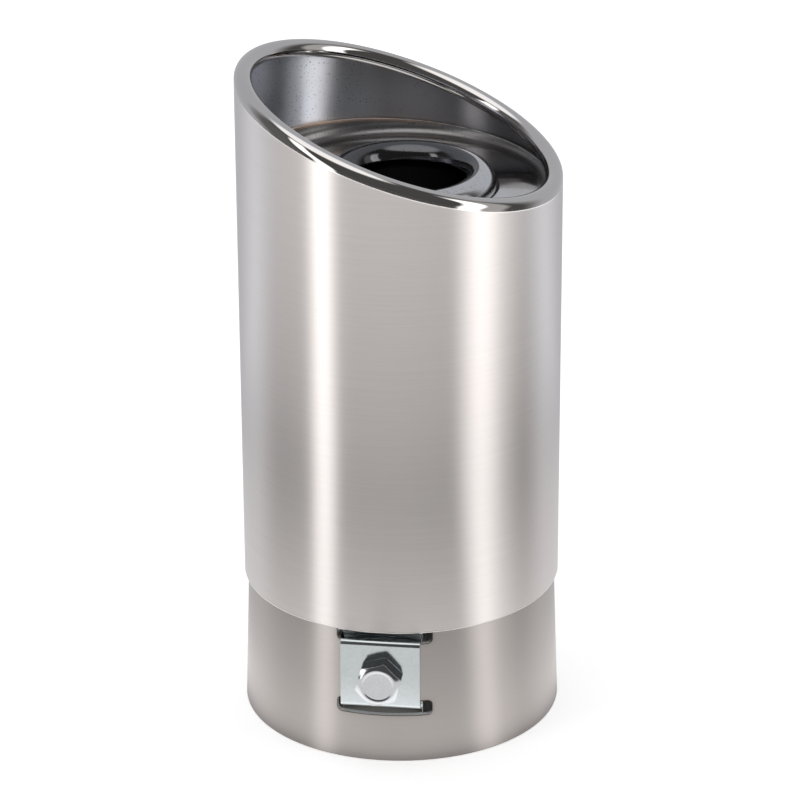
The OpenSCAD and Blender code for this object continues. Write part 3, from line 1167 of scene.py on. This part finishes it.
def paper_floor(colours):
    """The paper that the tip stands on. It glows softly, but not under the tip."""
    finish, graph = new_finish("Paper")
    place = graph.place()
    fibre = graph.noise(place, 400.0, 2.0).between(0.3, 0.7)
    white = graph.mix(fibre * 0.3, rgba(colours.floor), rgba(colours.floor, 0.98))
    x, y, z = graph.split(place)
    under = hypotenuse(x, y).between(37 * MM, 35 * MM)
    glow = graph.mix(under, rgba(colours.floor), rgba((0.0, 0.0, 0.0)))
    inputs = {"Base Color": white, "Roughness": 0.9, "Emission Color": glow, "Emission Strength": 0.6}
    shader = graph.node("ShaderNodeBsdfPrincipled", inputs)
    graph.node("ShaderNodeOutputMaterial", {"Surface": shader.outputs["BSDF"]})
    shape = bmesh.new()
    bmesh.ops.create_grid(shape, x_segments=8, y_segments=8, size=6.0)
    bmesh.ops.translate(shape, vec=(0.0, 0.0, -0.05 * MM), verts=shape.verts)
    floor = object_from("Floor", shape, finish)
    floor.visible_glossy = False
    return floor


def studio_camera():
    """A camera with a long lens, in front of the tip and a little above it."""
    lens = bpy.data.cameras.new("Camera")
    lens.sensor_width = CAMERA_SENSOR
    lens.lens = CAMERA_LENS
    lens.clip_start = 0.05
    lens.clip_end = 50.0
    camera = bpy.data.objects.new("Camera", lens)
    right = Vector((math.cos(CAMERA_YAW), math.sin(CAMERA_YAW), 0.0))
    level = Vector((-math.sin(CAMERA_YAW), math.cos(CAMERA_YAW), 0.0))
    forward = level * math.cos(CAMERA_PITCH) - Vector((0.0, 0.0, math.sin(CAMERA_PITCH)))
    up = right.cross(forward)
    rolled_right = right * math.cos(CAMERA_ROLL) + up * math.sin(CAMERA_ROLL)
    rolled_up = up * math.cos(CAMERA_ROLL) - right * math.sin(CAMERA_ROLL)
    aim = Matrix((rolled_right, rolled_up, -forward)).transposed().to_4x4()
    camera.matrix_world = Matrix.Translation(CAMERA_PLACE) @ aim
    return camera


class TIP_OT_stage(bpy.types.Operator):
    """Set up the pale floor, the soft studio light and the camera"""

    bl_idname = "exhaust_tip.stage"
    bl_label = "Stage"

    def execute(self, context):
        scene = context.scene
        colours = scene.tip_colours
        scene.world = studio_light(colours)
        scene.view_settings.view_transform = "Standard"
        floor = paper_floor(colours)
        lit_card(colours, 175 * MM)
        camera = studio_camera()
        scene.collection.objects.link(camera)
        scene.camera = camera
        return {"FINISHED"}


class TIP_PT_panel(bpy.types.Panel):
    """Buttons for the pieces of the exhaust tip"""

    bl_idname = "TIP_PT_panel"
    bl_label = "Exhaust tip"
    bl_space_type = "VIEW_3D"
    bl_region_type = "UI"
    bl_category = "Exhaust tip"

    def draw(self, context):
        for operator in OPERATORS:
            self.layout.operator(operator.bl_idname)
        for title, group in (("Sizes", context.scene.tip_sizes), ("Colours", context.scene.tip_colours)):
            box = self.layout.box()
            box.label(text=title)
            for name in group.__annotations__:
                box.prop(group, name, text=name.replace("_", " ").capitalize())


OPERATORS = (
    TIP_OT_stage,
    TIP_OT_outer_sleeve,
    TIP_OT_inlet_collar,
    TIP_OT_outlet_baffle,
    TIP_OT_clamp_saddle,
    TIP_OT_clamp_bolt,
    TIP_OT_clamp_nut,
)


CLASSES = (TipSizes, TipColours, *OPERATORS, TIP_PT_panel)


def register():
    for kind in CLASSES:
        bpy.utils.register_class(kind)
    bpy.types.Scene.tip_sizes = bpy.props.PointerProperty(type=TipSizes)
    bpy.types.Scene.tip_colours = bpy.props.PointerProperty(type=TipColours)


def unregister():
    del bpy.types.Scene.tip_colours
    del bpy.types.Scene.tip_sizes
    for kind in reversed(CLASSES):
        bpy.utils.unregister_class(kind)


def main():
    register()
    bpy.ops.exhaust_tip.stage()
    bpy.ops.exhaust_tip.outer_sleeve()
    bpy.ops.exhaust_tip.inlet_collar()
    bpy.ops.exhaust_tip.outlet_baffle()
    bpy.ops.exhaust_tip.clamp_saddle()
    bpy.ops.exhaust_tip.clamp_bolt()
    bpy.ops.exhaust_tip.clamp_nut()


if __name__ == "__main__":
    main()
